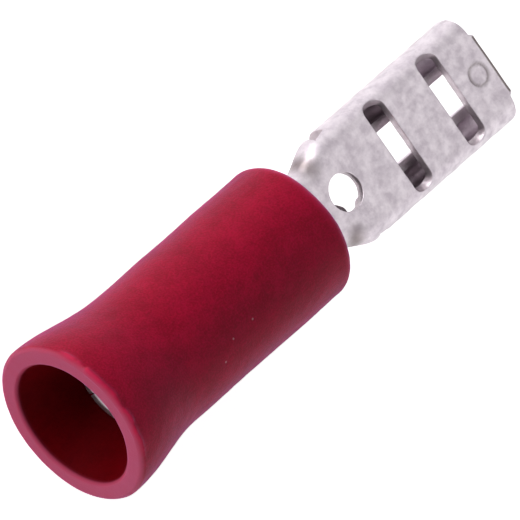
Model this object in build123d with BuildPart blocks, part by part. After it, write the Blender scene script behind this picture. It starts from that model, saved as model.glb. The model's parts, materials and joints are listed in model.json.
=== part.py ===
from build123d import *

import os
from math import asin, atan2, cos, degrees, hypot, pi, radians, sin

# Female spade terminal, in millimetres: a folded sheet contact in a flared vinyl sleeve.
# It lies on its sleeve with the contact's flat floor up. X runs from the wire end to the tab end.
# Stations are measured along the terminal's own axis from the sleeve's mouth, heights up from that axis.

# The tab that the receptacle takes
tab_width = 2.8
tab_thickness = 0.5
tab_side_play = 0.1
tab_grip = 0.1

# Folded sheet
sheet = 0.3
floor_height = 0.9
bend_outer_radius = 0.68
side_length = 0.23
edge_gap = 1.13
curl_length = 5.77
tongue_length = 0.13
tongue_width = 2.0
tongue_corner = 0.08
tip_rounding = 0.12
tip_lead_in = 0.1

# Cross slots, from the start of the curls, and the angle round the bends at which they end
slot_inset = 1.59
slot_pitch = 2.43
slot_count = 2
slot_width = 0.79
slot_reach = radians(41)

# Detent dimple between the slots, and a plain stamped ring near the tip
dimple_radius = 0.5
dimple_depth = 0.05
mark_radius = 0.4
mark_line = 0.14
mark_depth = 0.05
mark_inset = 0.62

# Wire barrel, the neck that slopes down from it and then widens, with its sight hole, then the bridge to the
# curls and how far it reaches round the bends
barrel_radius = 1.42
barrel_inset = 2.1
entry_chamfer = 0.1
slope_inset = 0.14
slope_length = 0.8
slope_steps = 4
neck_half_width = 1.36
widening_length = 1.28
widening_steps = 4
hole_radius = 0.59
hole_inset = 0.33
bridge_length = 0.52
bridge_reach = radians(55)
seam_gap = 0.06
seam_notch_width = 0.3
seam_notch_depth = 0.25

# Vinyl sleeve
sleeve_length = 10.14
sleeve_radius = 2.275
mouth_radius = 2.68
mouth_wall = 0.62
lip_rounding = 0.15
bore_rounding = 0.12
flare_length = 3.3
flare_handle_share = 0.4
end_rounding = 0.33
barrel_clearance = 0.02
rest_flat = 0.03

# How far cutting solids run past the sheet that they cut
cut_margin = 1.0

# Sections that follow from the sizes above
outer_half_width = tab_width / 2 + tab_side_play + sheet
roll_outer_radius = (outer_half_width - edge_gap / 2) / 2
floor_half_width = outer_half_width - bend_outer_radius
roll_radius = roll_outer_radius - sheet / 2
bend_radius = bend_outer_radius - sheet / 2
side = outer_half_width - sheet / 2
lip = side - 2 * roll_radius
floor_middle = floor_height - sheet / 2
bend_height = floor_height - bend_outer_radius
roll_height = bend_height - side_length
lip_top = floor_height - sheet - (tab_thickness - tab_grip)
bore_radius = barrel_radius - sheet
seat_radius = barrel_radius + barrel_clearance
mouth_bore_radius = mouth_radius - mouth_wall
dimple_sphere_radius = (dimple_radius ** 2 + dimple_depth ** 2) / (2 * dimple_depth)
dimple_bottom = floor_height - sheet - dimple_depth

# Stations that follow from the lengths above
barrel_start = barrel_inset
barrel_end = sleeve_length - slope_inset
slope_end = barrel_end + slope_length
neck_end = slope_end + widening_length
hole_station = neck_end - hole_inset
curl_start = neck_end + bridge_length
curl_end = curl_start + curl_length
tip_station = curl_end + tongue_length
slot_stations = [curl_start + slot_inset + number * slot_pitch for number in range(slot_count)]
dimple_station = sum(slot_stations) / slot_count
mark_station = tip_station - mark_inset

# The terminal comes to rest on the mouth's rim and on the rounded edge at the sleeve's other end.
# Its lean is the slope of the common tangent of those two roundings, and each has a small flat there.
rest_run = sleeve_length - end_rounding - lip_rounding
rest_rise = (mouth_radius - lip_rounding) - (sleeve_radius - end_rounding)
lean = atan2(rest_rise, rest_run) + asin((lip_rounding - end_rounding) / hypot(rest_run, rest_rise))
axis_height = lip_rounding * (1 + sin(lean)) + (mouth_radius - lip_rounding) * cos(lean) - rest_flat
low_x = lip_rounding * (cos(lean) - 1) - (mouth_radius - lip_rounding) * sin(lean)
high_x = (tip_station - tip_rounding) * cos(lean) + (floor_height - tip_rounding) * sin(lean) + tip_rounding
axis_start = Vector(-(low_x + high_x) / 2, 0, axis_height)
along = Vector(cos(lean), 0, -sin(lean))
up = Vector(sin(lean), 0, cos(lean))
across = Vector(0, 1, 0)

# Working planes: sections across the axis, the side view through it and the plan view on it
section_plane = Plane(origin=axis_start, x_dir=across, z_dir=along)
side_plane = Plane(origin=axis_start, x_dir=along, z_dir=-across)
plan_plane = Plane(origin=axis_start, x_dir=along, z_dir=up)
terminal_axis = Axis(axis_start, along)


def slot_cutter(station):
    """Solid of one cross slot: radial end faces in the bends, and ends rounded in plan."""
    reach_out = 2 * bend_outer_radius * sin(slot_reach)
    reach_up = 2 * bend_outer_radius * cos(slot_reach)
    slot_half_length = floor_half_width + bend_outer_radius * sin(slot_reach)
    with BuildPart() as cutter:
        with BuildSketch(section_plane.offset(station - slot_width / 2)):
            with BuildLine():
                Polyline(
                    (0, bend_height),
                    (floor_half_width, bend_height),
                    (floor_half_width + reach_out, bend_height + reach_up),
                    (floor_half_width + reach_out, floor_height + cut_margin),
                    (0, floor_height + cut_margin),
                )
                mirror(about=Plane.YZ)
            make_face()
        extrude(amount=slot_width)
        with BuildSketch(plan_plane.offset(bend_height)):
            with Locations((station, 0)):
                SlotOverall(2 * slot_half_length, slot_width, rotation=90)
        extrude(amount=bend_outer_radius + cut_margin, mode=Mode.INTERSECT)
    return cutter.part


def arc_end(start, heading, length, turn):
    """Point that an arc reaches from its start, going right and bending down as it turns."""
    chord = length if turn == 0 else 2 * length / turn * sin(turn / 2)
    return start + chord * Vector(cos(heading + turn / 2), -sin(heading + turn / 2))


def eased(progress):
    """Smooth step from 0 to 1."""
    return progress * progress * (3 - 2 * progress)


def neck_section(sloped, widened, inset):
    """Section of the neck, from the round barrel to a flattened tube as it slopes, and wider as it widens.

    Each quarter is two arcs: half of the floor, then a bend. Their lengths, and the angles that they turn
    through, go smoothly from those of the round tube to those of the flat one.
    """
    share = eased(sloped)
    half_width = neck_half_width + eased(widened) * (outer_half_width - neck_half_width)
    flat_arcs = ((half_width - bend_outer_radius, 0), (bend_outer_radius * pi / 2, pi / 2))
    flat_quarter = sum(length for length, turn in flat_arcs)
    points = [Vector(0, 0)]
    headings = [0]
    for flat_length, flat_turn in flat_arcs:
        round_turn = pi / 2 * flat_length / flat_quarter
        length = (1 - share) * barrel_radius * round_turn + share * flat_length
        turn = (1 - share) * round_turn + share * flat_turn
        start, heading = points[-1], headings[-1]
        for stretch in (0.5, 1):
            points.append(arc_end(start, heading, stretch * length, stretch * turn))
            headings.append(heading + stretch * turn)
    middle = share * bend_height
    lift = Vector(0, middle - points[-1].Y)
    floor_start, floor_half, floor_end, bend_half, bend_end = (
        point + lift - inset * Vector(sin(heading), cos(heading)) for point, heading in zip(points, headings)
    )
    station = barrel_end + sloped * slope_length + widened * widening_length
    with BuildSketch(section_plane.offset(station)) as section:
        with BuildLine():
            if sloped < 1:
                ThreePointArc(floor_start, floor_half, floor_end)
            else:
                Line(floor_start, floor_end)
            ThreePointArc(floor_end, bend_half, bend_end)
            mirror(about=Plane.YZ)
            mirror(about=Plane.XZ.offset(-middle))
        make_face()
    return section.sketch


def slope_sections(inset):
    """Sections of the neck where it slopes and flattens."""
    return [neck_section(step / slope_steps, 0, inset) for step in range(slope_steps + 1)]


def widening_sections(inset):
    """Sections of the neck where it is flat and widens."""
    return [neck_section(1, step / widening_steps, inset) for step in range(widening_steps + 1)]


slot_cutters = [slot_cutter(station) for station in slot_stations]

# Round bump under the floor, a cap of a sphere
with BuildPart() as dimple_bump:
    with BuildSketch(plan_plane.offset(dimple_bottom)):
        with Locations((dimple_station, 0)):
            Circle(dimple_radius)
    extrude(amount=dimple_depth + sheet / 2)
    bump_centre = plan_plane.from_local_coords((dimple_station, 0, dimple_bottom + dimple_sphere_radius))
    with Locations(bump_centre):
        Sphere(dimple_sphere_radius, mode=Mode.INTERSECT)

# Contact
with BuildPart() as contact:
    # Wire barrel: a tube from inside the sleeve to the neck
    with BuildSketch(section_plane.offset(barrel_start)):
        Circle(barrel_radius)
    extrude(amount=barrel_end - barrel_start)

    # Neck: the round tube flattens to the receptacle's height, then widens to its width
    loft(slope_sections(0))
    loft(widening_sections(0))

    # Inside of the barrel and the neck
    with BuildSketch(section_plane.offset(barrel_start)):
        Circle(bore_radius)
    extrude(amount=barrel_end - barrel_start, mode=Mode.SUBTRACT)
    loft(slope_sections(sheet), mode=Mode.SUBTRACT)
    loft(widening_sections(sheet), mode=Mode.SUBTRACT)

    # Bevelled entry for the wire
    with BuildSketch(side_plane):
        with BuildLine():
            Polyline(
                (barrel_start, bore_radius),
                (barrel_start, bore_radius + entry_chamfer),
                (barrel_start + entry_chamfer, bore_radius),
                close=True,
            )
        make_face()
    revolve(axis=terminal_axis, mode=Mode.SUBTRACT)

    # Butted seam along the underside, with a small notch at its front end
    with BuildSketch(plan_plane):
        with BuildLine():
            Polyline(
                (barrel_start, 0),
                (barrel_start, seam_gap / 2),
                (neck_end - seam_notch_depth, seam_gap / 2),
                (neck_end, seam_notch_width / 2),
                (neck_end, 0),
            )
            mirror(about=Plane.XZ)
        make_face()
    extrude(amount=-(barrel_radius + cut_margin), mode=Mode.SUBTRACT)

    # Bridge: the floor and part of the bends, from the neck to the receptacle
    with BuildSketch(section_plane.offset(neck_end)):
        with BuildLine():
            Line((0, floor_middle), (floor_half_width, floor_middle))
            bend_turn = degrees(bridge_reach)
            CenterArc((floor_half_width, bend_height), bend_radius, 90 - bend_turn, bend_turn)
            mirror(about=Plane.YZ)
        trace(line_width=sheet)
    extrude(amount=bridge_length)

    # Receptacle: floor, bends, sides and the rolled edges that press on the tab
    with BuildSketch(section_plane.offset(curl_start)):
        with BuildLine():
            Line((0, floor_middle), (floor_half_width, floor_middle))
            CenterArc((floor_half_width, bend_height), bend_radius, 0, 90)
            Line((side, bend_height), (side, roll_height))
            CenterArc((side - roll_radius, roll_height), roll_radius, 180, 180)
            Line((lip, roll_height), (lip, lip_top))
            mirror(about=Plane.YZ)
        trace(line_width=sheet)
    extrude(amount=curl_length)

    # Tongue of the floor that stands past the rolled edges
    with BuildSketch(plan_plane.offset(floor_height)):
        with BuildLine():
            Polyline(
                (curl_end, 0),
                (curl_end, tongue_width / 2),
                (tip_station - tongue_corner, tongue_width / 2),
                (tip_station, tongue_width / 2 - tongue_corner),
                (tip_station, 0),
            )
            mirror(about=Plane.XZ)
        make_face()
    extrude(amount=-sheet)
    tip_edges = contact.edges().filter_by(Axis.Y).sort_by(Axis.X)[-2:].sort_by(Axis.Z)
    chamfer(tip_edges[0], tip_lead_in)
    tip_edges = contact.edges().filter_by(Axis.Y).sort_by(Axis.X)[-2:].sort_by(Axis.Z)
    fillet(tip_edges[-1], tip_rounding)

    # Cross slots and sight hole
    for cutter in slot_cutters:
        add(cutter, mode=Mode.SUBTRACT)
    with BuildSketch(plan_plane.offset(bend_height)):
        with Locations((hole_station, 0)):
            Circle(hole_radius)
    extrude(amount=barrel_radius + cut_margin, mode=Mode.SUBTRACT)

    # Detent dimple, raised below the floor and hollow above it
    add(dimple_bump.part)
    hollow_height = floor_height - dimple_depth + dimple_sphere_radius
    with Locations(plan_plane.from_local_coords((dimple_station, 0, hollow_height))):
        Sphere(dimple_sphere_radius, mode=Mode.SUBTRACT)

    # Plain stamped ring near the tip
    with BuildSketch(plan_plane.offset(floor_height - mark_depth)):
        with Locations((mark_station, 0)):
            Circle(mark_radius)
            Circle(mark_radius - mark_line, mode=Mode.SUBTRACT)
    extrude(amount=mark_depth + cut_margin, mode=Mode.SUBTRACT)

# Insulating sleeve
with BuildPart() as insulating_sleeve:
    flare_handle = flare_handle_share * (flare_length - lip_rounding)
    with BuildSketch(side_plane):
        with BuildLine():
            RadiusArc((0, mouth_radius - lip_rounding), (lip_rounding, mouth_radius), lip_rounding)
            Bezier(
                (lip_rounding, mouth_radius),
                (lip_rounding + flare_handle, mouth_radius),
                (flare_length - flare_handle, sleeve_radius),
                (flare_length, sleeve_radius),
            )
            Line((flare_length, sleeve_radius), (sleeve_length - end_rounding, sleeve_radius))
            RadiusArc(
                (sleeve_length - end_rounding, sleeve_radius),
                (sleeve_length, sleeve_radius - end_rounding),
                end_rounding,
            )
            Polyline(
                (sleeve_length, sleeve_radius - end_rounding),
                (sleeve_length, seat_radius),
                (barrel_start, seat_radius),
                (bore_rounding, mouth_bore_radius),
            )
            RadiusArc(
                (bore_rounding, mouth_bore_radius),
                (0, mouth_bore_radius + bore_rounding),
                bore_rounding,
            )
            Line((0, mouth_bore_radius + bore_rounding), (0, mouth_radius - lip_rounding))
        make_face()
    revolve(axis=terminal_axis)

    # Small flats of the soft rim and end where they lie on a surface
    split(bisect_by=Plane.XY)

contact.part.label = "contact"
insulating_sleeve.part.label = "insulating_sleeve"

os.makedirs("parts", exist_ok=True)
export_step(contact.part, "parts/contact.step")
export_step(insulating_sleeve.part, "parts/insulating_sleeve.step")
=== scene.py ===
"""Looks of a female spade terminal: a folded, tin-plated contact in a flared red vinyl sleeve.

Both pieces are worked out in millimetres in the terminal's own axes, which are the station along its axis
from the sleeve's mouth, the distance to its left and the height above the axis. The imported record's wire
barrel places those axes in the frame.
"""

from __future__ import annotations

import json
import logging
import math
from dataclasses import dataclass
from enum import Enum
from typing import Any

import bpy
import numpy as np
from mathutils import Matrix, Vector

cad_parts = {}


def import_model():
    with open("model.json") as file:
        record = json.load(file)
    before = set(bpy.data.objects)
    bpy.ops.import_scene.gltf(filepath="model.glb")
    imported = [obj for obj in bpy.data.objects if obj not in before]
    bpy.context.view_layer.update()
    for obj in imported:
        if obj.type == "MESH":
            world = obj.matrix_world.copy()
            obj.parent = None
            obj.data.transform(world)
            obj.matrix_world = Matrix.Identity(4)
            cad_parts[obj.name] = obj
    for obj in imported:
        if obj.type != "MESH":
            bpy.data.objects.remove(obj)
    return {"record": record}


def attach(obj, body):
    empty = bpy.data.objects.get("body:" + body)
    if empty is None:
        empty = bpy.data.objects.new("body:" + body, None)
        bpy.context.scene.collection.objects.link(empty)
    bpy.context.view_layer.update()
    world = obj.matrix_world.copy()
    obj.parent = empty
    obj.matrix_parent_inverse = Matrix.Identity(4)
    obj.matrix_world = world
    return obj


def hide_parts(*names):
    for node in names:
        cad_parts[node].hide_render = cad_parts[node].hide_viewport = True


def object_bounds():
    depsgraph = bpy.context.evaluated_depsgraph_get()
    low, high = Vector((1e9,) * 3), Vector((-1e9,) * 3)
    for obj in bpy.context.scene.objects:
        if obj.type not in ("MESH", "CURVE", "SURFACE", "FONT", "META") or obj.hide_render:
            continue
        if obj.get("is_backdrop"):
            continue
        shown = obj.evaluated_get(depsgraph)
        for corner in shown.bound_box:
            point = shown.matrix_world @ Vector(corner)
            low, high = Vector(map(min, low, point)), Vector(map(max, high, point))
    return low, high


log = logging.getLogger("spade_terminal")

# Metres in a millimetre, and the station of the wire barrel's mount in millimetres
MM = 0.001
BORE_STATION = 2.2
QUARTER_TURN = math.pi / 2
BODY = "root"

Tree = bpy.types.NodeTree
Node = bpy.types.Node
Socket = bpy.types.NodeSocket
Piece = bpy.types.Object
Array = np.ndarray
Pair = tuple[float, float]
Colour = tuple[float, float, float, float]


class Slot(Enum):
    """The record's material slots."""

    TIN = "tinned_brass"
    VINYL = "red_vinyl"


class Share(Enum):
    """Mesh attributes that hold, for each vertex, how much of a finish shows."""

    BRASS_AND_SHADE = "brass_and_painted_shade"
    PALE_RIM_AND_LIGHT = "pale_rim_and_painted_light"
    FLASH_AND_EDGE_LIGHT = "flash_and_painted_edge_light"


def linear_rgb(code: str) -> Colour:
    """Turns an sRGB hex colour into linear RGBA by the sRGB formula.

    Args:
        code: Six hex digits after a hash sign.

    Returns:
        Linear red, green and blue, and an alpha of 1.
    """
    values = [int(code[start:start + 2], 16) / 255 for start in (1, 3, 5)]
    red, green, blue = [v / 12.92 if v <= 0.04045 else ((v + 0.055) / 1.055) ** 2.4 for v in values]
    return red, green, blue, 1.0


def per_metre(size: float) -> float:
    """Texture scale, in repeats per metre, of a pattern whose features are this many millimetres across."""
    return 1 / (size * MM)


def smooth_step(values: Array) -> Array:
    """Cubic ease from 0 to 1 as the values go from 0 to 1, level outside that range."""
    share = np.clip(values, 0, 1)
    return share * share * (3 - 2 * share)


def add_node(tree: Tree, kind: str, inputs: dict[str | int, Any] | None = None, **settings: Any) -> Node:
    """Adds a node, sets its properties, and sets or links its input sockets.

    Args:
        tree: The node tree that gets the node.
        kind: The node's type name.
        inputs: Input sockets by name or number, each with a value or with the output socket to link.
        settings: Values of the node's own properties.

    Returns:
        The new node.
    """
    node = tree.nodes.new(kind)
    for name, value in settings.items():
        setattr(node, name, value)
    for socket, value in (inputs or {}).items():
        if isinstance(value, Socket):
            tree.links.new(value, node.inputs[socket])
        else:
            node.inputs[socket].default_value = value
    return node


def add_math(tree: Tree, operation: str, first: Socket | float, second: Socket | float) -> Socket:
    """Adds a calculation with two values and returns its result."""
    return add_node(tree, "ShaderNodeMath", {0: first, 1: second}, operation=operation).outputs["Value"]


def add_mix(tree: Tree, share: Socket, first: Socket | Colour, second: Socket | Colour) -> Socket:
    """Adds a mix of two colours by the second one's share. Its colours are inputs 6 and 7 and output 2."""
    return add_node(tree, "ShaderNodeMix", {0: share, 6: first, 7: second}, data_type="RGBA").outputs[2]


def add_range(tree: Tree, value: Socket, start: float, end: float, low: float = 0, high: float = 1) -> Socket:
    """Adds a map of values from start to end to values from low to high, and returns its result."""
    inputs = {"Value": value, "From Min": start, "From Max": end, "To Min": low, "To Max": high}
    return add_node(tree, "ShaderNodeMapRange", inputs).outputs["Result"]


def add_share(tree: Tree, share: Share) -> Socket:
    """Adds a node that reads one of the mesh's shares and returns its value."""
    return add_node(tree, "ShaderNodeAttribute", attribute_name=share.value).outputs["Fac"]


def new_material(name: str) -> tuple[bpy.types.Material, Tree, Node]:
    """Makes an empty node material.

    Args:
        name: The material's name.

    Returns:
        The material, its node tree and its output node.
    """
    material = bpy.data.materials.new(name)
    material.use_nodes = True
    tree = material.node_tree
    tree.nodes.clear()
    return material, tree, add_node(tree, "ShaderNodeOutputMaterial")


def add_piece(name: str, points: Array, faces: Array) -> Piece:
    """Makes a smooth-shaded mesh piece that rides on the terminal's body.

    Args:
        name: The piece's name.
        points: Its vertices in metres, one row each.
        faces: Vertex numbers of each face, one row each, in order round it.

    Returns:
        The piece's object, at the origin.
    """
    mesh = bpy.data.meshes.new(name)
    mesh.from_pydata(points.tolist(), [], faces.tolist())
    mesh.polygons.foreach_set("use_smooth", np.ones(len(faces), dtype=bool))
    mesh.update()
    piece = bpy.data.objects.new(name, mesh)
    bpy.context.scene.collection.objects.link(piece)
    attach(piece, BODY)
    return piece


def set_share(piece: Piece, share: Share, values: Array) -> None:
    """Stores a share for each of the piece's vertices."""
    attribute = piece.data.attributes.new(share.value, "FLOAT", "POINT")
    attribute.data.foreach_set("value", values.astype(np.float32).reshape(-1))


def grid_faces(rows: int, columns: int, closed: bool = False) -> Array:
    """Quads of a grid whose vertices are numbered along each row in turn.

    Args:
        rows: Rows of vertices.
        columns: Vertices in each row.
        closed: Whether the last row joins the first one and the last column the first.

    Returns:
        Vertex numbers, one row of four for each quad.
    """
    number = np.arange(rows * columns).reshape(rows, columns)
    if closed:
        number = np.pad(number, ((0, 1), (0, 1)), mode="wrap")
    here, right = number[:-1, :-1], number[:-1, 1:]
    below, across = number[1:, :-1], number[1:, 1:]
    return np.stack([here, right, across, below], axis=-1).reshape(-1, 4)


@dataclass(frozen=True)
class Relief:
    """Smooth random unevenness: a sum of cosine waves of about one length, in random directions and phases.

    Its heights have a mean of 0 and a spread of about the height given. Sizes are in millimetres.
    """

    height: float
    length: float
    seed: int
    waves: int = 60
    length_spread: Pair = (0.7, 1.4)

    def heights(self, along: Array, across: Array, radius: float | None = None) -> Array:
        """Works out the heights on a sheet, or on a tube, where a whole number of each wave goes round.

        Args:
            along: Each point's distance along the sheet or the tube.
            across: Its distance across the sheet, or its angle round the tube in radians.
            radius: The tube's radius.

        Returns:
            A height for each point.
        """
        draws = np.random.default_rng(self.seed)
        heading = draws.uniform(0, math.tau, self.waves)
        phase = draws.uniform(0, math.tau, self.waves)
        rate = math.tau / (self.length * draws.uniform(*self.length_spread, self.waves))
        total = np.zeros(np.broadcast(along, across).shape)
        for run, lobes, shift in zip(rate * np.cos(heading), rate * np.sin(heading), phase):
            if radius is not None:
                lobes = round(lobes * radius)
            total += np.cos(run * along + lobes * across + shift)
        return self.height * math.sqrt(2 / self.waves) * total


@dataclass(frozen=True)
class TerminalAxes:
    """The terminal's own axes in the frame, in millimetres."""

    origin: Array
    along: Array
    left: Array
    up: Array

    @classmethod
    def from_record(cls, record: dict[str, Any]) -> TerminalAxes:
        """Finds the axes from the wire barrel's mount.

        Args:
            record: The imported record.

        Returns:
            The axes, with their origin in the middle of the sleeve's mouth.
        """
        mount = next(m for m in record["mounts"] if m["name"] == "wire_barrel")
        along = -np.array(mount["axis"], dtype=float)
        along /= np.linalg.norm(along)
        left = np.array([0.0, 1.0, 0.0])
        place = np.array(mount["pos_m"], dtype=float) / MM
        return cls(place - BORE_STATION * along, along, left, np.cross(along, left))

    def place(self, station: Array, left: Array, height: Array) -> Array:
        """Points of the frame, in metres, for points given in the terminal's axes in millimetres."""
        base = np.stack(np.broadcast_arrays(station, left, height), axis=-1)
        return (self.origin + base @ np.stack([self.along, self.left, self.up])) * MM


@dataclass(frozen=True)
class NoiseLayer:
    """A layer of noise in a material: the size and fineness of its features, and the bump that it makes.

    Sizes are in millimetres.
    """

    size: float
    detail: float
    roughness: float = 0.5
    bump_strength: float = 0.0
    bump_height: float = 0.0

    def value(self, tree: Tree, place: Socket) -> Socket:
        """Adds the noise, at a place in the piece's own coordinates, and returns its value."""
        sizes = {"Scale": per_metre(self.size), "Detail": self.detail, "Roughness": self.roughness}
        return add_node(tree, "ShaderNodeTexNoise", {"Vector": place} | sizes).outputs["Fac"]

    def bump(self, tree: Tree, value: Socket, **below: Socket) -> Socket:
        """Adds the bump of the noise's value, on the Normal below it, and returns the bumped normal."""
        sizes = {"Strength": self.bump_strength, "Distance": self.bump_height * MM}
        return add_node(tree, "ShaderNodeBump", {"Height": value} | sizes | below).outputs["Normal"]


@dataclass(frozen=True)
class TinPlating:
    """Bright tin plating on stamped brass: pale grey, softly mirroring, mottled where it was drawn and bent.

    Punched edges cut through the plating and show the brass, duller and warmer. The same brass colour is also
    mixed in as painted shade. Over tint_range of the mottling's values the tint goes from dull to pale, and
    over gloss_range the roughness from high to low.
    """

    name: str = "tin_plated_brass"
    pale: str = "#E8DEE5"
    dull: str = "#CABFC8"
    # Brass of the cut walls, also mixed in as painted shade at the tip, in the neck's dents and inside the
    # receptacle
    brass: str = "#645752"
    metallic: float = 0.85
    roughness: Pair = (0.3, 0.46)
    tint_range: Pair = (0.36, 0.64)
    gloss_range: Pair = (0.3, 0.7)
    mottle: NoiseLayer = NoiseLayer(0.36, 5.0, 0.62, bump_strength=0.7, bump_height=0.022)
    grain: NoiseLayer = NoiseLayer(0.11, 2.0, bump_strength=0.5, bump_height=0.006)

    def material(self) -> bpy.types.Material:
        """Makes the plating's material.

        Returns:
            A metal whose mottling and grain are noise in the piece's own coordinates.
        """
        material, tree, output = new_material(self.name)
        place = add_node(tree, "ShaderNodeTexCoord").outputs["Object"]
        mottle = self.mottle.value(tree, place)
        grain = self.grain.value(tree, place)
        blotch = add_range(tree, mottle, *self.tint_range)
        tint = add_mix(tree, blotch, linear_rgb(self.dull), linear_rgb(self.pale))
        low, high = self.roughness
        inputs = {
            # Brass on the cut walls and in the ring, and brass colour as painted shade, by the contact's
            # share
            "Base Color": add_mix(tree, add_share(tree, Share.BRASS_AND_SHADE), tint, linear_rgb(self.brass)),
            "Metallic": self.metallic,
            "Roughness": add_range(tree, mottle, *self.gloss_range, high, low),
            "Normal": self.grain.bump(tree, grain, Normal=self.mottle.bump(tree, mottle)),
        }
        shader = add_node(tree, "ShaderNodeBsdfPrincipled", inputs)
        tree.links.new(shader.outputs["BSDF"], output.inputs["Surface"])
        return material


@dataclass(frozen=True)
class SoftVinyl:
    """Soft moulded PVC: deep red, a little translucent, with a matte, finely pebbled skin and stray dust.

    Over tint_range of the clouding and pebbling added up, the tint goes from deep to fresh. Dust lies in the
    middle of cells and fades over dust_range, in shares of a cell. Sizes are in millimetres.
    """

    name: str = "soft_red_vinyl"
    deep: str = "#920825"
    fresh: str = "#B60E37"
    dust: str = "#D59AA6"
    # Paler colour of the rim face, partly painted light on the rim
    cut: str = "#BA4A68"
    # Colour of the flash ridge, lighter in part as a painted highlight, and of the painted light along the
    # other end's edge
    flash: str = "#CC2450"
    roughness: float = 0.48
    refraction: float = 1.5
    gloss: float = 0.12
    sheen: float = 1.0
    sheen_roughness: float = 0.32
    sheen_tint: str = "#FF80EC"
    scatter_share: float = 0.25
    scatter_reach: tuple[float, float, float] = (1.0, 0.12, 0.1)
    scatter_depth: float = 0.35
    tint_range: Pair = (0.8, 1.2)
    cloud: NoiseLayer = NoiseLayer(0.9, 8.0, 0.72)
    pebble: NoiseLayer = NoiseLayer(0.06, 3.0, bump_strength=0.5, bump_height=0.016)
    dust_cell: float = 1.0
    dust_range: Pair = (0.03, 0.05)
    dust_share: float = 0.6

    def material(self) -> bpy.types.Material:
        """Makes the vinyl's material.

        Returns:
            A translucent plastic whose clouding, pebbling and dust are noise in the piece's own coordinates.
        """
        material, tree, output = new_material(self.name)
        place = add_node(tree, "ShaderNodeTexCoord").outputs["Object"]
        pebble = self.pebble.value(tree, place)
        both = add_math(tree, "ADD", self.cloud.value(tree, place), pebble)
        cells = add_node(tree, "ShaderNodeTexVoronoi", {"Vector": place, "Scale": per_metre(self.dust_cell)})
        colour = linear_rgb(self.deep)
        for share, code in (
            (add_range(tree, both, *self.tint_range), self.fresh),
            (add_range(tree, cells.outputs["Distance"], *self.dust_range, self.dust_share, 0), self.dust),
            # The rim face's paler colour, partly painted light
            (add_share(tree, Share.PALE_RIM_AND_LIGHT), self.cut),
            # The flash ridge's colour, partly a painted highlight, and painted light along the other end's
            # edge
            (add_share(tree, Share.FLASH_AND_EDGE_LIGHT), self.flash),
        ):
            colour = add_mix(tree, share, colour, linear_rgb(code))
        inputs = {
            "Base Color": colour,
            "Roughness": self.roughness,
            "IOR": self.refraction,
            "Subsurface Weight": self.scatter_share,
            "Subsurface Radius": self.scatter_reach,
            "Subsurface Scale": self.scatter_depth * MM,
            "Specular IOR Level": self.gloss,
            "Sheen Weight": self.sheen,
            "Sheen Roughness": self.sheen_roughness,
            "Sheen Tint": linear_rgb(self.sheen_tint),
            "Normal": self.pebble.bump(tree, pebble),
        }
        shader = add_node(tree, "ShaderNodeBsdfPrincipled", inputs)
        tree.links.new(shader.outputs["BSDF"], output.inputs["Surface"])
        return material


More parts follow.
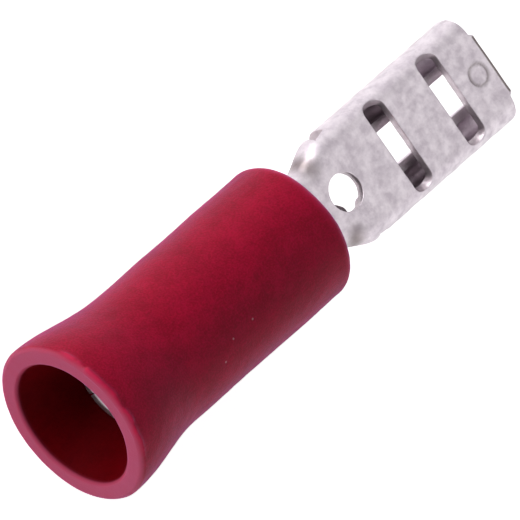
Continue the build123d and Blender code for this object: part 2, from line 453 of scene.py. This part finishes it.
@dataclass
class FoldedContact:
    """The contact: one flat blank of sheet with a hole and two slots, rolled to a barrel and to curled edges.

    A point of the blank is its station and its girth, the distance from the middle line measured round the
    folds on the outer face. Sizes are in millimetres.
    """

    axes: TerminalAxes

    # Barrel, neck and receptacle
    sheet: float = 0.3
    barrel_radius: float = 1.42
    barrel_start: float = 2.0
    barrel_end: float = 10.0
    slope_end: float = 10.8
    neck_end: float = 12.08
    neck_half_width: float = 1.36
    curl_start: float = 12.6
    curl_end: float = 18.37
    tip: float = 18.5
    tongue_half_width: float = 1.0
    tongue_shoulder: float = 0.12
    floor_height: float = 0.9
    floor_half_width: float = 1.12
    bend_radius: float = 0.68
    side_length: float = 0.23
    roll_radius: float = 0.6175
    lip_length: float = 0.21
    upper_folds: int = 2

    # Hole, slots, notches and seam
    hole_station: float = 11.75
    hole_radius: float = 0.59
    slot_stations: Pair = (14.19, 16.62)
    slot_half_width: float = 0.395
    slot_half_girth: float = 1.607
    bridge_half_girth: float = 1.773
    notch_run: float = 0.16
    seam_half_gap: float = 0.03
    seam_notch_depth: float = 0.42
    seam_notch_half_width: float = 0.6

    # Stamped forms, dents and waves
    dimple_radius: float = 0.5
    dimple_depth: float = 0.022
    ring_station: float = 17.88
    ring_radius: float = 0.33
    ring_half_line: float = 0.07
    ring_depth: float = 0.05
    crease_half_length: float = 0.34
    crease_half_width: float = 0.06
    crease_height: float = 0.014
    crease_power: int = 4
    dent_station: float = 11.25
    dent_girth: float = 1.11
    dent_radius: float = 0.5
    dent_depth: float = 0.05
    wave: Relief = Relief(0.004, 0.9, seed=11, waves=24)

    # Rounded edges, and a distance from them at which nothing is rounded
    edge_rounding: float = 0.022
    burr_rounding: float = 0.015
    entry_rounding: float = 0.14
    tip_rounding: float = 0.12
    clear_of_edges: float = 0.22

    # Shares of brass colour, and where they lie: bare brass on cut walls, a darker ring, and painted shade in
    # the neck's dents, inside the receptacle and along the tip
    dent_shade: float = 0.75
    dent_shade_left: float = 1.35
    dent_shade_spread: float = 0.7
    ring_darkening: float = 0.55
    wall_share: float = 0.35
    inside_shade_shares: Pair = (0.4, 0.06)
    tip_shade_width: float = 0.1
    tip_shade_share: float = 0.85

    # Rows and columns of the grid, and how near to each other two points are one
    rounding_steps: int = 2
    row_counts: tuple[int, ...] = (15, 16, 9, 4, 7, 6, 44)
    row_digits: int = 6
    entry_columns: int = 7
    barrel_columns: int = 16
    neck_columns: int = 44
    panel_columns: tuple[int, int, int] = (24, 34, 54)
    points_per_mm: int = 10000

    finish: TinPlating = TinPlating()

    @property
    def seam_girth(self) -> float:
        """Girth of the edges that meet at the barrel's seam."""
        return math.pi * self.barrel_radius - self.seam_half_gap

    @property
    def bend_end(self) -> float:
        """Girth at which the receptacle's bends end."""
        return self.floor_half_width + self.bend_radius * QUARTER_TURN

    @property
    def lip_end(self) -> float:
        """Girth of the edges of the receptacle's lips."""
        return self.bend_end + self.side_length + self.roll_radius * math.pi + self.lip_length

    def rounding_offsets(self) -> Array:
        """Distances from a cut edge at which the rounding of the edge is sampled, evenly in angle."""
        angle = np.linspace(0, QUARTER_TURN, self.rounding_steps + 1)
        return self.edge_rounding * (1 - np.cos(angle))

    def flatness(self, station: Array) -> Array:
        """0 on the round barrel, easing to 1 along the neck's slope, where the tube is flat."""
        return smooth_step((station - self.barrel_end) / (self.slope_end - self.barrel_end))

    def floor_reach(self, station: Array) -> Array:
        """Half the flat floor's width, which after the slope widens from the neck's to the receptacle's."""
        neck = self.neck_half_width - self.bend_radius
        widened = smooth_step((station - self.slope_end) / (self.neck_end - self.slope_end))
        return neck + widened * (self.floor_half_width - neck)

    def folds(self, station: Array, curled: bool) -> list[tuple[Array | float, ...]]:
        """Lengths and turns of the folds from the middle line outwards.

        The barrel's quarter circle is split in the proportion of the floor and the bend. Along the slope,
        lengths and turns ease from the round tube's to the flat one's.

        Args:
            station: Stations of the points.
            curled: Whether the sheet ends in the receptacle's curls, and not in the tube's lower half.

        Returns:
            Each fold's length, turn and part of the girth. The tube's lower half takes up all of the girth
            that its upper half leaves.
        """
        flat = self.flatness(station)
        floor = self.floor_reach(station)
        bend = self.bend_radius * QUARTER_TURN
        upper = []
        for length, turn in ((floor, 0.0), (bend, QUARTER_TURN)):
            round_turn = QUARTER_TURN * length / (floor + bend)
            run = (1 - flat) * self.barrel_radius * round_turn + flat * length
            upper.append((run, (1 - flat) * round_turn + flat * turn, run))
        if not curled:
            taken = upper[0][0] + upper[1][0]
            stretch = (math.pi * self.barrel_radius - taken) / taken
            return upper + [(run, turn, run * stretch) for run, turn, _ in upper[::-1]]
        curl = ((self.side_length, 0), (self.roll_radius * math.pi, math.pi), (self.lip_length, 0))
        return upper + [(length, turn, length) for length, turn in curl]

    def section(self, station: Array, girth: Array, curled: bool) -> tuple[Array, ...]:
        """Outer face of the folded sheet: each fold is an arc, added to the end of the one before.

        An arc's chord is its length times sin(turn / 2) / (turn / 2), in the direction of half its turn.

        Args:
            station: Stations of the points.
            girth: Distances from the middle line round the folds, positive to the left.
            curled: Whether the sheet ends in the receptacle's curls.

        Returns:
            The points' distance to the left and height, and the left and upward parts of the outward normal.
        """
        left, drop, heading, crown, crown_heading = np.zeros((5, *station.shape))
        rest = np.abs(girth)
        for number, (length, turn, girth_share) in enumerate(self.folds(station, curled)):
            share = np.clip(rest / girth_share, 0, 1)
            bend = turn * share
            chord = length * share * np.sinc(bend / math.tau)
            left += chord * np.cos(heading + bend / 2)
            drop += chord * np.sin(heading + bend / 2)
            heading += bend
            rest = rest - girth_share * share
            if number < self.upper_folds:
                crown += length * np.sinc(turn / math.tau) * np.sin(crown_heading + turn / 2)
                crown_heading += turn
        middle = self.flatness(station) * (self.floor_height - self.bend_radius)
        side = np.sign(girth)
        return side * left, middle + crown - drop, side * np.sin(heading), np.cos(heading)

    def girth_rows(self, end: float) -> Array:
        """Girths of the grid's rows, closer together round the hole, the slots' ends and the cut edges.

        Args:
            end: Girth of the sheet's edge.

        Returns:
            Rows from the right edge to the left one.
        """
        offsets = self.rounding_offsets()
        slot_middle = self.slot_half_girth - self.slot_half_width
        notch_end = self.bridge_half_girth + self.notch_run
        hole, web, slot_end, bridge, notch, bend, curl = self.row_counts
        stretches = [
            self.hole_radius * np.sin(np.linspace(0, QUARTER_TURN, hole)),
            self.hole_radius + offsets,
            np.linspace(self.hole_radius + self.edge_rounding, slot_middle, web),
            slot_middle + self.slot_half_width * np.sin(np.linspace(0, QUARTER_TURN, slot_end)),
            self.slot_half_girth + offsets,
            np.linspace(self.slot_half_girth + self.edge_rounding, self.bridge_half_girth, bridge),
            np.linspace(self.bridge_half_girth, notch_end, notch),
            np.linspace(notch_end, self.bend_end, bend),
            np.linspace(self.bend_end, end - self.edge_rounding, curl),
            end - offsets,
        ]
        half = np.unique(np.round(np.concatenate(stretches), self.row_digits))
        return np.concatenate([-half[:0:-1], half])

    def hole_reach(self, girth: Array) -> Array:
        """Half the hole's extent along the axis at a girth, by the circle's formula."""
        return np.sqrt(np.clip(self.hole_radius ** 2 - girth ** 2, 0, None))

    def slot_reach(self, girth: Array) -> Array:
        """Half a slot's extent along the axis at a girth: straight sides, then a half circle."""
        past = np.clip(np.abs(girth) - (self.slot_half_girth - self.slot_half_width), 0, self.slot_half_width)
        return np.sqrt(np.clip(self.slot_half_width ** 2 - past ** 2, 0, None))

    def joint_line(self, girth: Array) -> Array:
        """Station where the neck's grid meets the receptacle's, from the hole's side to the neck's end."""
        share = (np.abs(girth) - self.hole_radius) / (self.bridge_half_girth - self.hole_radius)
        return self.hole_station + (self.neck_end - self.hole_station) * smooth_step(share)

    def notch_share(self, girth: Array) -> Array:
        """0 on the bridge, easing to 1 where the notch between the neck and the curls is fully open."""
        return smooth_step((np.abs(girth) - self.bridge_half_girth) / self.notch_run)

    def tip_line(self, girth: Array) -> Array:
        """Station of the sheet's front edge: the tongue, easing back to the curls' ends."""
        share = smooth_step((np.abs(girth) - self.tongue_half_width) / self.tongue_shoulder)
        return self.tip + (self.curl_end - self.tip) * share

    def seam_front(self, girth: Array) -> Array:
        """How far the notch at the front of the seam cuts back into the neck."""
        share = (self.seam_girth - np.abs(girth)) / self.seam_notch_half_width
        return self.seam_notch_depth * (1 - smooth_step(share))

    def columns(self, start: Array, end: Array, count: int) -> Array:
        """Stations between two edges, closer together at each edge so that its rounding shows.

        Args:
            start: Station of the near edge for each row.
            end: Station of the far edge for each row.
            count: Columns between the two roundings.

        Returns:
            Stations, one row for each girth.
        """
        offsets = self.rounding_offsets()
        inner = np.linspace(0, 1, count + 2)[None, 1:-1]
        first = start[:, None] + offsets
        last = end[:, None] - offsets[::-1]
        middle = first[:, -1:] + (last[:, :1] - first[:, -1:]) * inner
        return np.concatenate([first, middle, last], axis=1)

    def opening_distance(self, station: Array, girth: Array) -> Array:
        """Distance on the flat blank from the nearest edge of the hole or of a slot."""
        nearest = np.hypot(station - self.hole_station, girth) - self.hole_radius
        past = np.clip(np.abs(girth) - (self.slot_half_girth - self.slot_half_width), 0, None)
        for middle in self.slot_stations:
            nearest = np.minimum(nearest, np.hypot(station - middle, past) - self.slot_half_width)
        return nearest

    def stamped_depth(self, station: Array, girth: Array) -> tuple[Array, Array]:
        """Depths of the stamped forms: the detent dimple, a bowl, and the ring near the tip, a round groove.

        A low crease stands along each fold beside the dimple, and a dent lies in each shoulder of the neck.

        Args:
            station: Stations of the points.
            girth: Girths of the points.

        Returns:
            The depth of the dimple and dents, in both faces, and that of the ring and creases, in the outer
            face only.
        """
        dimple_station = sum(self.slot_stations) / len(self.slot_stations)
        off_fold = (np.abs(girth) - self.floor_half_width) / self.crease_half_width
        off_middle = ((station - dimple_station) / self.crease_half_length) ** self.crease_power
        crease = self.crease_height * (1 - smooth_step(np.abs(off_fold))) * (1 - smooth_step(off_middle))
        dimple_reach = np.hypot(station - dimple_station, girth) / self.dimple_radius
        dent_reach = np.hypot(station - self.dent_station, np.abs(girth) - self.dent_girth) / self.dent_radius
        dimple = self.dimple_depth * (1 - smooth_step(dimple_reach))
        dent = self.dent_depth * (1 - smooth_step(dent_reach))
        off_line = np.abs(np.hypot(station - self.ring_station, girth) - self.ring_radius)
        groove = self.ring_depth * (1 - smooth_step(off_line / self.ring_half_line))
        return dimple + dent, groove - crease

    def darker_ring_and_dent_shade(self, points: Array) -> Array:
        """How much brass colour is mixed in: darker in the stamped ring, and painted shade in the neck's
        dents, most in their middle.

        Args:
            points: Points of the outer face in the terminal's axes, one row each.

        Returns:
            A share from 0 to 1 for each point.
        """
        station, left, height = points.T
        off_line = np.abs(np.hypot(station - self.ring_station, left) - self.ring_radius)
        off_station = (station - self.dent_station) / self.dent_radius
        off_dent = np.hypot(off_station, (np.abs(left) - self.dent_shade_left) / self.dent_shade_spread)
        ring = self.ring_darkening * (1 - smooth_step(off_line / self.ring_half_line))
        dent = self.dent_shade * (1 - smooth_step(off_dent))
        return np.where(height > 0, np.maximum(ring, dent), 0)

    @staticmethod
    def round_off(distance: Array, radius: float) -> Array:
        """How far a quarter circle of this radius lowers a face, by the distance from the face's edge."""
        short = radius - np.clip(distance, 0, radius)
        return radius - np.sqrt(radius ** 2 - short ** 2)

    def panel(self, girth: Array, station: Array, edge: Array, curled: bool) -> tuple[Array, ...]:
        """Outer and inner faces of one panel of the sheet.

        Cut edges are rounded, more on the outer face, where the punch went in, and most inside the barrel's
        start, where the wire enters.

        Args:
            girth: Girth of each row.
            station: Stations of the grid, one row for each girth.
            edge: Distance of each point from the panel's own cut edges.
            curled: Whether the sheet ends in the receptacle's curls.

        Returns:
            Points of the outer and of the inner face in the terminal's axes, one row each.
        """
        around = np.broadcast_to(girth[:, None], station.shape)
        left, height, out_left, out_up = self.section(station, around, curled)
        edge = np.minimum(edge, self.opening_distance(station, around))
        bowl, groove = self.stamped_depth(station, around)
        form = bowl - self.wave.heights(station, around)
        burr = self.round_off(edge, self.burr_rounding)
        entry = self.round_off(station - self.barrel_start, self.entry_rounding)
        depths = (
            form + groove + self.round_off(edge, self.edge_rounding),
            form + self.sheet - np.maximum(burr, entry),
        )
        return tuple(
            np.stack([station, left - depth * out_left, height - depth * out_up], axis=-1).reshape(-1, 3)
            for depth in depths
        )

    def panels(self) -> list[tuple[Array, Array, Array]]:
        """Works out the four panels: barrel and neck, and the receptacle before, between and after its slots.

        Returns:
            For each panel its outer points, its inner points and its quads.
        """
        tube = self.girth_rows(self.seam_girth)
        curled = self.girth_rows(self.lip_end)
        made = []

        # Barrel and neck: few columns in the straight barrel, more in the neck
        open_front = self.notch_share(tube)
        front = self.joint_line(tube) - self.hole_reach(tube) - self.seam_front(tube)
        entry_angle = np.linspace(0, QUARTER_TURN, self.entry_columns)
        entry = self.barrel_start + self.entry_rounding * (1 - np.cos(entry_angle))
        barrel = np.concatenate([entry, np.linspace(entry[-1], self.barrel_end, self.barrel_columns)[1:]])
        neck = self.columns(np.full_like(tube, self.barrel_end), front, self.neck_columns)
        barrel = np.broadcast_to(barrel, (len(tube), len(barrel)))
        station = np.concatenate([barrel, neck[:, self.rounding_steps:]], axis=1)
        to_front = (front[:, None] - station) + self.clear_of_edges * (1 - open_front[:, None])
        edge = np.minimum(to_front, (self.seam_girth - np.abs(tube))[:, None])
        edge = np.minimum(edge, station - self.barrel_start)
        made.append((tube, station, edge, False))

        # Receptacle: each panel runs from one opening to the next
        notch = self.notch_share(curled)
        back = self.joint_line(curled) + self.hole_reach(curled) + (self.curl_start - self.neck_end) * notch
        first, second = self.slot_stations
        reach = self.slot_reach(curled)
        tip = self.tip_line(curled)
        slope = np.hypot(1, np.gradient(tip, curled))
        to_lip = (self.lip_end - np.abs(curled))[:, None]
        starts = (back, first + reach, second + reach)
        ends = (first - reach, second - reach, tip)
        for start, end, count in zip(starts, ends, self.panel_columns):
            station = self.columns(start, end, count)
            edge = to_lip
            if start is back:
                to_back = station - start[:, None] + self.clear_of_edges * (1 - notch[:, None])
                edge = np.minimum(edge, to_back)
            if end is tip:
                to_tip = (end[:, None] - station) / slope[:, None]
                edge = np.minimum(edge, to_tip * self.edge_rounding / self.tip_rounding)
            made.append((curled, station, edge, True))

        return [
            (*self.panel(girth, station, edge, is_curled), grid_faces(*station.shape))
            for girth, station, edge, is_curled in made
        ]

    def build(self) -> Piece:
        """Joins the panels where they meet, adds the cut walls between the two faces and makes the mesh.

        Returns:
            The contact's piece, with a share of brass colour: bare brass on cut walls, darker in the ring,
            and painted shade at the tip, in the dents and inside.
        """
        panels = self.panels()
        firsts = np.cumsum([0] + [len(outer) for outer, _, _ in panels])
        outer, inner = (np.concatenate([panel[face] for panel in panels]) for face in (0, 1))
        quads = np.concatenate([panel[2] + first for panel, first in zip(panels, firsts)])

        # Points of two panels that lie within a tenth of a micrometre become one
        keys = np.round(outer * self.points_per_mm).astype(np.int64)
        _, kept, place = np.unique(keys, axis=0, return_index=True, return_inverse=True)
        quads = place.reshape(-1)[quads]
        outer, inner = outer[kept], inner[kept]
        total = len(outer)

        # An edge that only one quad runs along is a cut edge, and gets a wall
        starts = quads.reshape(-1)
        ends = np.roll(quads, -1, axis=1).reshape(-1)
        free = ~np.isin(starts * total + ends, ends * total + starts)
        starts, ends = starts[free], ends[free]
        walls = np.stack([ends, starts, starts + total, ends + total], axis=-1)
        faces = np.concatenate([quads, quads[:, ::-1] + total, walls])
        points = np.concatenate([outer, inner])
        piece = add_piece("tinned_contact", self.axes.place(*points.T), faces)

        on_tongue = np.abs(outer[:, 1]) < self.tongue_half_width
        # Painted shade: a dark band along the tongue's front edge
        tip_shade = on_tongue & (self.tip - outer[:, 0] < self.tip_shade_width)
        # The stamped ring is darker, and the neck's dents get painted shade
        outside = np.maximum(np.where(tip_shade, self.tip_shade_share, 0), self.darker_ring_and_dent_shade(outer))
        # Painted shade inside the receptacle, strongest near the first slot
        inside = np.interp(inner[:, 0], self.slot_stations, self.inside_shade_shares)
        cut = np.concatenate([outside, inside])
        cut[walls.reshape(-1)] = self.wall_share
        set_share(piece, Share.BRASS_AND_SHADE, cut)
        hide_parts("contact")
        return piece

    def dress(self, piece: Piece) -> None:
        """Gives the contact its plating."""
        piece.data.materials.append(self.finish.material())


@dataclass
class VinylSleeve:
    """The insulating sleeve: a closed profile turned round the axis, with the unevenness of soft moulding.

    Sizes are in millimetres and angles in degrees.
    """

    axes: TerminalAxes

    # Profile
    length: float = 10.14
    radius: float = 2.275
    mouth_radius: float = 2.68
    mouth_wall: float = 0.62
    lip_rounding: float = 0.15
    bore_rounding: float = 0.12
    flare_length: float = 3.3
    flare_handle_share: float = 0.4
    end_rounding: float = 0.33
    seat_radius: float = 1.44
    seat_start: float = 2.1
    seat_rounding: float = 0.06

    # Unevenness, which sets in over loose_run from the true seat
    sway: Relief = Relief(0.006, 2.6, seed=3)
    pebble: Relief = Relief(0.0012, 0.5, seed=5)
    loose_run: float = 0.3

    # Ridge of flash on the rim, and how ragged it is
    ridge_height: float = 0.06
    ridge_width: float = 0.075
    ridge_station: float = 0.12
    ridge_middle: float = 8
    ridge_half_turn: float = 50
    ridge_fade: float = 12
    ridge_wander: Relief = Relief(0.015, 0.9, seed=9)
    ragged_mean: float = 0.8
    ragged_parts: tuple[Relief, Relief] = (Relief(0.25, 0.8, seed=8), Relief(0.125, 0.25, seed=10))

    # Painted light: a lighter line along the edge of the other end
    edge_light_width: float = 0.16
    edge_light_share: float = 0.8

    # Points of the profile's stretches, and vertices round the axis
    profile_points: tuple[int, ...] = (13, 59, 92, 15, 6, 6, 8, 30, 9, 9)
    around: int = 360

    finish: SoftVinyl = SoftVinyl()
    # The mouth's bore: the same vinyl painted darker as shade, without sheen
    shaded_bore_finish: SoftVinyl = SoftVinyl(
        "soft_red_vinyl_shaded_bore", deep="#560208", fresh="#62020A", dust="#62020A", sheen=0.0, gloss=0.02
    )

    @property
    def mouth_bore(self) -> float:
        """Radius of the mouth's bore at the rim."""
        return self.mouth_radius - self.mouth_wall

    @staticmethod
    def arc(centre: Pair, radius: float, start: float, end: float, count: int) -> Array:
        """Points of an arc of the profile, station and radius, from one angle in degrees to another."""
        angle = np.radians(np.linspace(start, end, count))
        return np.stack([centre[0] + radius * np.cos(angle), centre[1] + radius * np.sin(angle)], axis=-1)

    @staticmethod
    def line(start: Pair, end: Pair, count: int) -> Array:
        """Points of a straight stretch of the profile, without its two ends."""
        share = np.linspace(0, 1, count + 2)[1:-1, None]
        return np.array(start) * (1 - share) + np.array(end) * share

    def flare(self, count: int) -> Array:
        """Points of the flare, a cubic Bezier curve from the lip's crown to the barrel, level at both ends.

        Args:
            count: How many points there are.

        Returns:
            Points in order, station and radius, without the curve's two ends.
        """
        run = self.flare_length - self.lip_rounding
        share = np.linspace(0, 1, count + 2)[1:-1]
        ease = smooth_step(share)
        pull = 3 * self.flare_handle_share * run * share * (1 - share) * (1 - 2 * share)
        radius = self.mouth_radius + (self.radius - self.mouth_radius) * ease
        return np.stack([self.lip_rounding + run * ease + pull, radius], axis=-1)

    def profile(self) -> Array:
        """Closed profile: lip, flare, barrel, rounded end, seat, funnel, bore's lip and rim face.

        Returns:
            Points in order, station and radius, one row each, with no point twice.
        """
        lip_arc = (self.lip_rounding, self.mouth_radius - self.lip_rounding)
        end_arc = (self.length - self.end_rounding, self.radius - self.end_rounding)
        seat_arc = (self.length - self.seat_rounding, self.seat_radius + self.seat_rounding)
        bore_arc = (self.bore_rounding, self.mouth_bore + self.bore_rounding)
        seat_corner = (self.seat_start, self.seat_radius)
        lip, curve, barrel, end, face, seat_end, seat, funnel, bore, rim = self.profile_points
        stretches = [
            self.arc(lip_arc, self.lip_rounding, 180, 90, lip),
            self.flare(curve),
            self.line((self.flare_length, self.radius), (end_arc[0], self.radius), barrel),
            self.arc(end_arc, self.end_rounding, 90, 0, end),
            self.line((self.length, end_arc[1]), (self.length, seat_arc[1]), face),
            self.arc(seat_arc, self.seat_rounding, 0, -90, seat_end),
            self.line((seat_arc[0], self.seat_radius), seat_corner, seat),
            self.line(seat_corner, (self.bore_rounding, self.mouth_bore), funnel),
            self.arc(bore_arc, self.bore_rounding, 270, 180, bore),
            self.line((0, bore_arc[1]), (0, lip_arc[1]), rim),
        ]
        return np.concatenate(stretches)

    def flash(self, station: Array, radius: Array, angle: Array) -> Array:
        """How high the ragged ridge of flash stands, along the top of the rim's outer edge.

        Args:
            station: Station of each point of the profile.
            radius: Its radius.
            angle: Angles round the axis, from the top, in radians.

        Returns:
            A share of the ridge's height for each point and angle.
        """
        rim = np.zeros_like(station)
        wander = self.ridge_wander.heights(rim, angle, self.mouth_radius)
        off_ridge = (station - self.ridge_station - wander) / self.ridge_width
        ragged = sum(part.heights(rim, angle, self.mouth_radius) for part in self.ragged_parts)
        off_top = np.degrees(np.arccos(np.cos(angle - math.radians(self.ridge_middle))))
        fade = smooth_step((self.ridge_half_turn - off_top) / self.ridge_fade)
        on_lip = radius > self.mouth_radius - self.lip_rounding
        return on_lip * np.exp(-off_ridge ** 2) * np.clip(self.ragged_mean + ragged, 0, 1) * fade

    def build(self) -> Piece:
        """Turns the profile round the axis and moves each point along the profile's normal by the unevenness.

        Returns:
            The sleeve's piece, with shares for the rim face's paler colour, partly painted light, and for the
            flash ridge's colour and the painted light along the other end's edge.
        """
        profile = self.profile()
        tangent = np.roll(profile, -1, axis=0) - np.roll(profile, 1, axis=0)
        tangent /= np.linalg.norm(tangent, axis=1, keepdims=True)
        normal = np.stack([-tangent[:, 1], tangent[:, 0]], axis=-1)
        angle = np.linspace(0, math.tau, self.around, endpoint=False)[None, :]
        station, radius = profile[:, :1], profile[:, 1:]

        # The bore's seat stays true, because the barrel fits it
        loose = smooth_step((radius - self.seat_radius) / self.loose_run)
        uneven = sum(part.heights(station, angle, self.radius) for part in (self.sway, self.pebble))
        flash = self.flash(station, radius, angle)
        lift = loose * uneven + self.ridge_height * flash
        place = station + normal[:, :1] * lift
        reach = radius + normal[:, 1:] * lift
        points = self.axes.place(place, reach * np.sin(angle), reach * np.cos(angle)).reshape(-1, 3)

        # The soft rim and end lie flat on the surface below
        points[:, 2] = np.maximum(points[:, 2], 0)
        piece = add_piece("vinyl_sleeve", points, grid_faces(*place.shape, closed=True))

        # Painted light: a lighter line along the rounded edge of the other end, where light shines through
        # and catches it
        off_edge = (self.length - self.end_rounding / 2 - station) / self.edge_light_width
        line = self.edge_light_share * np.exp(-off_edge ** 2) * (radius > self.seat_radius)
        # The rim face is paler, partly as painted light on it
        rim = 1 - smooth_step(station / self.lip_rounding)
        for share, values in ((Share.PALE_RIM_AND_LIGHT, rim), (Share.FLASH_AND_EDGE_LIGHT, np.maximum(flash, line))):
            set_share(piece, share, np.broadcast_to(values, place.shape))
        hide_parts("insulating_sleeve")
        return piece

    def dress(self, piece: Piece) -> None:
        """Gives the sleeve its vinyl: skin with a sheen outside, and inside the mouth a dull vinyl painted
        darker as shade.
        """
        for finish in (self.finish, self.shaded_bore_finish):
            piece.data.materials.append(finish.material())
        station, radius = self.profile().T
        # Faces of the mouth's bore get the vinyl painted darker as shade
        in_bore = (radius < self.mouth_bore + self.bore_rounding / 2) & (station < self.seat_start)
        piece.data.polygons.foreach_set("material_index", np.repeat(in_bore.astype(np.int32), self.around))


@dataclass(frozen=True)
class Softbox:
    """A large square lamp that faces the terminal, placed by direction in degrees and distance in metres."""

    name: str
    azimuth: float
    elevation: float
    distance: float
    size: float
    brightness: float

    def build(self, target: Vector) -> None:
        """Makes the lamp. Its power is its brightness times pi times its area.

        Args:
            target: The point that it faces, in metres.
        """
        around, above = math.radians(self.azimuth), math.radians(self.elevation)
        level = math.cos(above)
        way = Vector((level * math.cos(around), level * math.sin(around), math.sin(above)))
        data = bpy.data.lights.new(self.name, "AREA")
        data.size = self.size
        data.energy = self.brightness * math.pi * self.size ** 2
        lamp = bpy.data.objects.new(self.name, data)
        lamp.location = target + way * self.distance
        lamp.rotation_euler = way.to_track_quat("Z", "Y").to_euler()
        bpy.context.scene.collection.objects.link(lamp)


@dataclass
class Studio:
    """A white floor, a pale world and softboxes round the terminal.

    The floor's glow and the world's backdrop are only for rays that show the background. Sizes are in metres.
    """

    floor_half_width: float = 0.4
    floor_white: str = "#F4F4F4"
    glow: float = 0.85
    world_white: str = "#FFFFFF"
    world_strength: float = 0.03
    backdrop: float = 0.68
    lamps: tuple[Softbox, ...] = (
        Softbox("left_softbox", 110, 3, 0.45, 0.52, 4.2),
        Softbox("left_back_softbox", 60, 20, 0.50, 0.40, 0.25),
        Softbox("right_softbox", 300, 18, 0.50, 0.36, 0.45),
        Softbox("back_softbox", 346, 52, 0.50, 0.38, 0.3),
        Softbox("rear_right_softbox", 240, 10, 0.50, 0.40, 2.4),
        Softbox("rear_left_softbox", 140, 6, 0.50, 0.40, 1.1),
    )

    @staticmethod
    def background_rays(tree: Tree) -> tuple[Socket, Socket]:
        """Picks the rays that show the background: the camera's own, mirrored and refracted ones.

        Args:
            tree: The node tree that gets the nodes.

        Returns:
            An output that is 1 for those rays and 0 for the rest, and one for the camera's own rays only.
        """
        path = add_node(tree, "ShaderNodeLightPath").outputs
        picked = path["Is Camera Ray"]
        for kind in ("Is Glossy Ray", "Is Transmission Ray"):
            picked = add_math(tree, "MAXIMUM", picked, path[kind])
        return picked, path["Is Camera Ray"]

    def floor(self) -> None:
        """Makes the floor: white paper that keeps the terminal's shadow, and glows only as background."""
        reach = self.floor_half_width
        mesh = bpy.data.meshes.new("floor")
        corners = [(-reach, -reach, 0), (reach, -reach, 0), (reach, reach, 0), (-reach, reach, 0)]
        mesh.from_pydata(corners, [], [(0, 1, 2, 3)])
        floor = bpy.data.objects.new("floor", mesh)
        bpy.context.scene.collection.objects.link(floor)
        floor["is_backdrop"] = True

        material, tree, output = new_material("white_paper")
        paper = add_node(tree, "ShaderNodeBsdfDiffuse", {"Color": linear_rgb(self.floor_white)})
        shown, _ = self.background_rays(tree)
        strength = add_math(tree, "MULTIPLY", shown, self.glow)
        glow = add_node(tree, "ShaderNodeEmission", {"Strength": strength})
        both = add_node(tree, "ShaderNodeAddShader", {0: paper.outputs["BSDF"], 1: glow.outputs["Emission"]})
        tree.links.new(both.outputs["Shader"], output.inputs["Surface"])
        mesh.materials.append(material)

    def world(self) -> None:
        """Lights the scene dimly from all round, white to the camera and pale in the metal's mirror image."""
        world = bpy.data.worlds.new("pale_room")
        world.use_nodes = True
        tree = world.node_tree
        tree.nodes.clear()
        shown, seen = self.background_rays(tree)
        strength = add_range(tree, shown, 0, 1, self.world_strength, self.backdrop)
        strength = add_math(tree, "MAXIMUM", strength, seen)
        white = linear_rgb(self.world_white)
        sky = add_node(tree, "ShaderNodeBackground", {"Color": white, "Strength": strength})
        add_node(tree, "ShaderNodeOutputWorld", {"Surface": sky.outputs["Background"]})
        bpy.context.scene.world = world

    def build(self, target: Vector) -> None:
        """Makes the floor, the world and the lamps, which face the target."""
        self.floor()
        self.world()
        for lamp in self.lamps:
            lamp.build(target)


@dataclass
class PhotoCamera:
    """A camera far off with a long lens, at the photograph's angle.

    The terminal's axis is turned in the picture and tilts into it, and the terminal is rolled about it.
    Angles are in degrees, the station is in millimetres and the distance in metres.
    """

    axes: TerminalAxes
    picture_pixels: float = 520
    pixels_per_mm: float = 34.4
    mouth_pixel: Pair = (72.6, 423.9)
    axis_turn: float = 41.37
    axis_tilt: float = 32.0
    roll: float = 12.0
    middle_station: float = 9.0
    distance: float = 0.64

    def build(self) -> None:
        """Makes the camera and sets it as the scene's."""
        turn, tilt, roll = (math.radians(angle) for angle in (self.axis_turn, self.axis_tilt, self.roll))
        along, left, up = self.axes.along, self.axes.left, self.axes.up
        rise = math.cos(roll) * up + math.sin(roll) * left
        run = math.cos(tilt) * along + math.sin(tilt) * rise
        beside = math.sin(roll) * up - math.cos(roll) * left
        right = math.cos(turn) * run + math.sin(turn) * beside
        top = math.sin(turn) * run - math.cos(turn) * beside
        back = np.cross(right, top)

        # The mouth's middle lands on its pixel, and the terminal's middle is at the lens's full distance
        half = self.picture_pixels / 2
        to_right = (half - self.mouth_pixel[0]) / self.pixels_per_mm
        to_top = (self.mouth_pixel[1] - half) / self.pixels_per_mm
        depth = float(back @ along) * self.middle_station
        target = (self.axes.origin + to_right * right + to_top * top + depth * back) * MM

        data = bpy.data.cameras.new("camera")
        data.lens = data.sensor_width * self.distance * self.pixels_per_mm / (self.picture_pixels * MM)
        camera = bpy.data.objects.new("camera", data)
        turned = Matrix((right, top, back)).transposed().to_4x4()
        camera.matrix_world = Matrix.Translation(Vector(target + self.distance * back)) @ turned
        bpy.context.scene.collection.objects.link(camera)
        bpy.context.scene.camera = camera


def main() -> None:
    """Builds the terminal, its studio and its camera."""
    logging.basicConfig(level=logging.INFO)
    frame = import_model()
    cad_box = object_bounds()
    bpy.context.scene.view_settings.view_transform = "Standard"

    axes = TerminalAxes.from_record(frame["record"])
    for maker in (FoldedContact(axes), VinylSleeve(axes)):
        piece = maker.build()
        maker.dress(piece)
        log.info("%s: %d vertices, %d faces", piece.name, len(piece.data.vertices), len(piece.data.polygons))

    low, high = cad_box
    Studio().build((low + high) / 2)
    PhotoCamera(axes).build()


if __name__ == "__main__":
    main()
